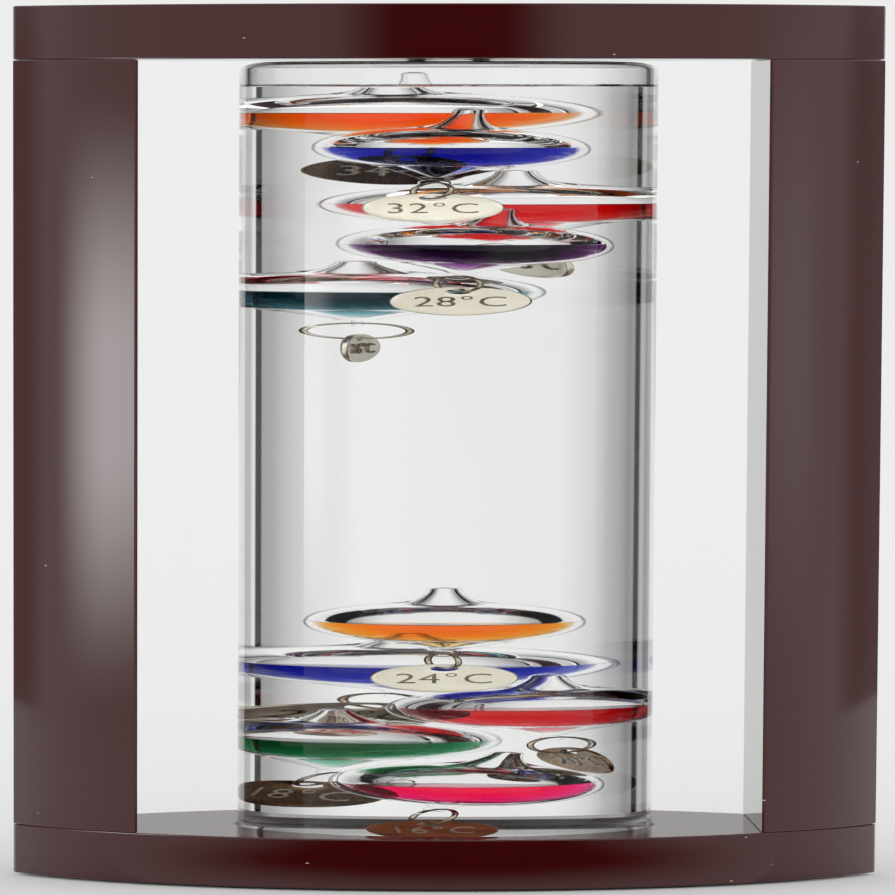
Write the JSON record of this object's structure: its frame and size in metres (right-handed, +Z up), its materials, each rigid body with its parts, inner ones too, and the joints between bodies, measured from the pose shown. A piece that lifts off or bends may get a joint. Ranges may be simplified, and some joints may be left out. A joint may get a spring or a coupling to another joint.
{
  "type": "galileo thermometer",
  "caption": "Wood-framed glass tube of clear liquid in which sealed globes of coloured liquid, each with a temperature tag, rise and sink to show the room temperature.",
  "frame": {"origin": "middle of the base's underside, on the surface it stands on", "axes": "+Z up along the tube, +X to the right seen from the front, front towards -Y"},
  "size_m": [0.104, 0.064, 0.44],
  "materials": {
    "lacquered_wood": "gloss",
    "dowel_wood": "matte",
    "felt": "matte",
    "tube_glass": "gloss",
    "clear_liquid": "gloss",
    "soft_seal": "satin",
    "globe_glass": "gloss",
    "ring_wire": "satin",
    "tag_metal": "satin",
    "liquid_34": "gloss",
    "liquid_32": "gloss",
    "liquid_30": "gloss",
    "liquid_28": "gloss",
    "liquid_26": "gloss",
    "liquid_24": "gloss",
    "liquid_22": "gloss",
    "liquid_20": "gloss",
    "liquid_18": "gloss",
    "liquid_16": "gloss"
  },
  "bodies": {
    "frame": {"base_block": "lacquered_wood", "header_block": "lacquered_wood", "left_post": "lacquered_wood", "right_post": "lacquered_wood", "dowel_left_lower": "dowel_wood", "dowel_left_upper": "dowel_wood", "dowel_right_lower": "dowel_wood", "dowel_right_upper": "dowel_wood", "felt_pad": "felt", "glass_tube": "tube_glass", "tube_foot_pad": "soft_seal", "header_grommet": "soft_seal", "tip_seal": "tube_glass"},
    "globe_34": {"globe_34_shell": "globe_glass", "globe_34_liquid": "liquid_34"},
    "ring_34": {"globe_34_ring": "ring_wire"},
    "tag_34": {"globe_34_tag": "tag_metal"},
    "globe_32": {"globe_32_shell": "globe_glass", "globe_32_liquid": "liquid_32"},
    "ring_32": {"globe_32_ring": "ring_wire"},
    "tag_32": {"globe_32_tag": "tag_metal"},
    "globe_30": {"globe_30_shell": "globe_glass", "globe_30_liquid": "liquid_30"},
    "ring_30": {"globe_30_ring": "ring_wire"},
    "tag_30": {"globe_30_tag": "tag_metal"},
    "globe_28": {"globe_28_shell": "globe_glass", "globe_28_liquid": "liquid_28"},
    "ring_28": {"globe_28_ring": "ring_wire"},
    "tag_28": {"globe_28_tag": "tag_metal"},
    "globe_26": {"globe_26_shell": "globe_glass", "globe_26_liquid": "liquid_26"},
    "ring_26": {"globe_26_ring": "ring_wire"},
    "tag_26": {"globe_26_tag": "tag_metal"},
    "globe_24": {"globe_24_shell": "globe_glass", "globe_24_liquid": "liquid_24"},
    "ring_24": {"globe_24_ring": "ring_wire"},
    "tag_24": {"globe_24_tag": "tag_metal"},
    "globe_22": {"globe_22_shell": "globe_glass", "globe_22_liquid": "liquid_22"},
    "ring_22": {"globe_22_ring": "ring_wire"},
    "tag_22": {"globe_22_tag": "tag_metal"},
    "globe_20": {"globe_20_shell": "globe_glass", "globe_20_liquid": "liquid_20"},
    "ring_20": {"globe_20_ring": "ring_wire"},
    "tag_20": {"globe_20_tag": "tag_metal"},
    "globe_18": {"globe_18_shell": "globe_glass", "globe_18_liquid": "liquid_18"},
    "ring_18": {"globe_18_ring": "ring_wire"},
    "tag_18": {"globe_18_tag": "tag_metal"},
    "globe_16": {"globe_16_shell": "globe_glass", "globe_16_liquid": "liquid_16"},
    "ring_16": {"globe_16_ring": "ring_wire"},
    "tag_16": {"globe_16_tag": "tag_metal"}
  },
  "joints": [
    {"name": "globe_34_float", "type": "slide", "parent": "frame", "child": "globe_34", "axis": [0, 0, 1], "range_m": [-0.0195, 0]},
    {"name": "ring_34_swing", "type": "hinge", "parent": "globe_34", "child": "ring_34", "pos_m": [-0.00264, 0.009, 0.36961], "axis": [0.4993, 0.864, 0.0645], "range_deg": [0, 25]},
    {"name": "tag_34_swing", "type": "hinge", "parent": "ring_34", "child": "tag_34", "pos_m": [-0.00305, 0.00981, 0.36186], "axis": [0.4993, 0.864, 0.0645], "range_deg": [-5, 25]},
    {"name": "globe_32_float", "type": "slide", "parent": "frame", "child": "globe_32", "axis": [0, 0, 1], "range_m": [-0.0385, 0]},
    {"name": "ring_32_swing", "type": "hinge", "parent": "globe_32", "child": "ring_32", "pos_m": [-0.00165, -0.0092, 0.35148], "axis": [-0.4224, 0.8951, -0.1429], "range_deg": [0, 25]},
    {"name": "tag_32_swing", "type": "hinge", "parent": "ring_32", "child": "tag_32", "pos_m": [-0.00192, -0.01055, 0.3438], "axis": [-0.4224, 0.8951, -0.1429], "range_deg": [-5, 25]},
    {"name": "globe_30_float", "type": "slide", "parent": "frame", "child": "globe_30", "axis": [0, 0, 1], "range_m": [-0.0575, 0]},
    {"name": "ring_30_swing", "type": "hinge", "parent": "globe_30", "child": "ring_30", "pos_m": [0.005, 0.0081, 0.3226], "axis": [0.7586, 0.6182, 0.2059], "range_deg": [-10, 20]},
    {"name": "tag_30_swing", "type": "hinge", "parent": "ring_30", "child": "tag_30", "pos_m": [0.00609, 0.00931, 0.31497], "axis": [0.7586, 0.6182, 0.2059], "range_deg": [-20, 25]},
    {"name": "globe_28_float", "type": "slide", "parent": "frame", "child": "globe_28", "axis": [0, 0, 1], "range_m": [-0.0765, 0]},
    {"name": "ring_28_swing", "type": "hinge", "parent": "globe_28", "child": "ring_28", "pos_m": [0.00081, -0.0086, 0.30512], "axis": [-0.5299, 0.848, 0], "range_deg": [-25, 25]},
    {"name": "tag_28_swing", "type": "hinge", "parent": "ring_28", "child": "tag_28", "pos_m": [0.00081, -0.0086, 0.29732], "axis": [-0.5299, 0.848, 0], "range_deg": [-25, 25]},
    {"name": "globe_26_float", "type": "slide", "parent": "frame", "child": "globe_26", "axis": [0, 0, 1], "range_m": [-0.095, 0]},
    {"name": "ring_26_swing", "type": "hinge", "parent": "globe_26", "child": "ring_26", "pos_m": [-0.0064, 0.007, 0.2806], "axis": [-0.9848, 0.1736, 0], "range_deg": [-25, 25]},
    {"name": "tag_26_swing", "type": "hinge", "parent": "ring_26", "child": "tag_26", "pos_m": [-0.0064, 0.007, 0.2728], "axis": [-0.9848, 0.1736, 0], "range_deg": [-25, 25]},
    {"name": "globe_24_float", "type": "slide", "parent": "frame", "child": "globe_24", "axis": [0, 0, 1], "range_m": [0, 0.095]},
    {"name": "ring_24_swing", "type": "hinge", "parent": "globe_24", "child": "ring_24", "pos_m": [-0.0004, -0.0084, 0.116], "axis": [-0.342, 0.9397, 0], "range_deg": [-15, 25]},
    {"name": "tag_24_swing", "type": "hinge", "parent": "ring_24", "child": "tag_24", "pos_m": [-0.0004, -0.0084, 0.1082], "axis": [-0.342, 0.9397, 0], "range_deg": [-15, 25]},
    {"name": "globe_22_float", "type": "slide", "parent": "frame", "child": "globe_22", "axis": [0, 0, 1], "range_m": [0, 0.0765]},
    {"name": "ring_22_swing", "type": "hinge", "parent": "globe_22", "child": "ring_22", "pos_m": [-0.0024, 0.0091, 0.0922], "axis": [-0.4755, 0.6727, 0.5668], "range_deg": [-15, 15]},
    {"name": "tag_22_swing", "type": "hinge", "parent": "ring_22", "child": "tag_22", "pos_m": [-0.00481, 0.01281, 0.08578], "axis": [-0.4755, 0.6727, 0.5668], "range_deg": [-20, 20]},
    {"name": "globe_20_float", "type": "slide", "parent": "frame", "child": "globe_20", "axis": [0, 0, 1], "range_m": [0, 0.0575]},
    {"name": "ring_20_swing", "type": "hinge", "parent": "globe_20", "child": "ring_20", "pos_m": [0.0087, -0.0014, 0.0719], "axis": [0.5142, 0.7918, 0.3296], "range_deg": [-20, 20]},
    {"name": "tag_20_swing", "type": "hinge", "parent": "ring_20", "child": "tag_20", "pos_m": [0.01059, 0.00043, 0.06456], "axis": [0.5142, 0.7918, 0.3296], "range_deg": [-20, 20]},
    {"name": "globe_18_float", "type": "slide", "parent": "frame", "child": "globe_18", "axis": [0, 0, 1], "range_m": [0, 0.0385]},
    {"name": "ring_18_swing", "type": "hinge", "parent": "globe_18", "child": "ring_18", "pos_m": [-0.0091, 0.0009, 0.0538], "axis": [0.6917, 0.7147, 0.1037], "range_deg": [0, 12]},
    {"name": "tag_18_swing", "type": "hinge", "parent": "ring_18", "child": "tag_18", "pos_m": [-0.01072, 0.00351, 0.04663], "axis": [0.6917, 0.7147, 0.1037], "range_deg": [-10, 10]},
    {"name": "globe_16_float", "type": "slide", "parent": "frame", "child": "globe_16", "axis": [0, 0, 1], "range_m": [0, 0.0195]},
    {"name": "ring_16_swing", "type": "hinge", "parent": "globe_16", "child": "ring_16", "pos_m": [-0.0008, -0.009, 0.03723], "axis": [-0.4951, 0.8143, -0.3029], "range_deg": [0, 2]},
    {"name": "tag_16_swing", "type": "hinge", "parent": "ring_16", "child": "tag_16", "pos_m": [-0.00189, -0.01226, 0.03023], "axis": [-0.4951, 0.8143, -0.3029], "range_deg": [0, 12]}
  ],
  "couplings": [
    {"joint": "globe_34_float", "follows": "globe_26_float", "ratio": 0.2},
    {"joint": "globe_32_float", "follows": "globe_26_float", "ratio": 0.4},
    {"joint": "globe_30_float", "follows": "globe_26_float", "ratio": 0.6},
    {"joint": "globe_28_float", "follows": "globe_26_float", "ratio": 0.8},
    {"joint": "globe_22_float", "follows": "globe_24_float", "ratio": 0.8},
    {"joint": "globe_20_float", "follows": "globe_24_float", "ratio": 0.6},
    {"joint": "globe_18_float", "follows": "globe_24_float", "ratio": 0.4},
    {"joint": "globe_16_float", "follows": "globe_24_float", "ratio": 0.2}
  ]
}
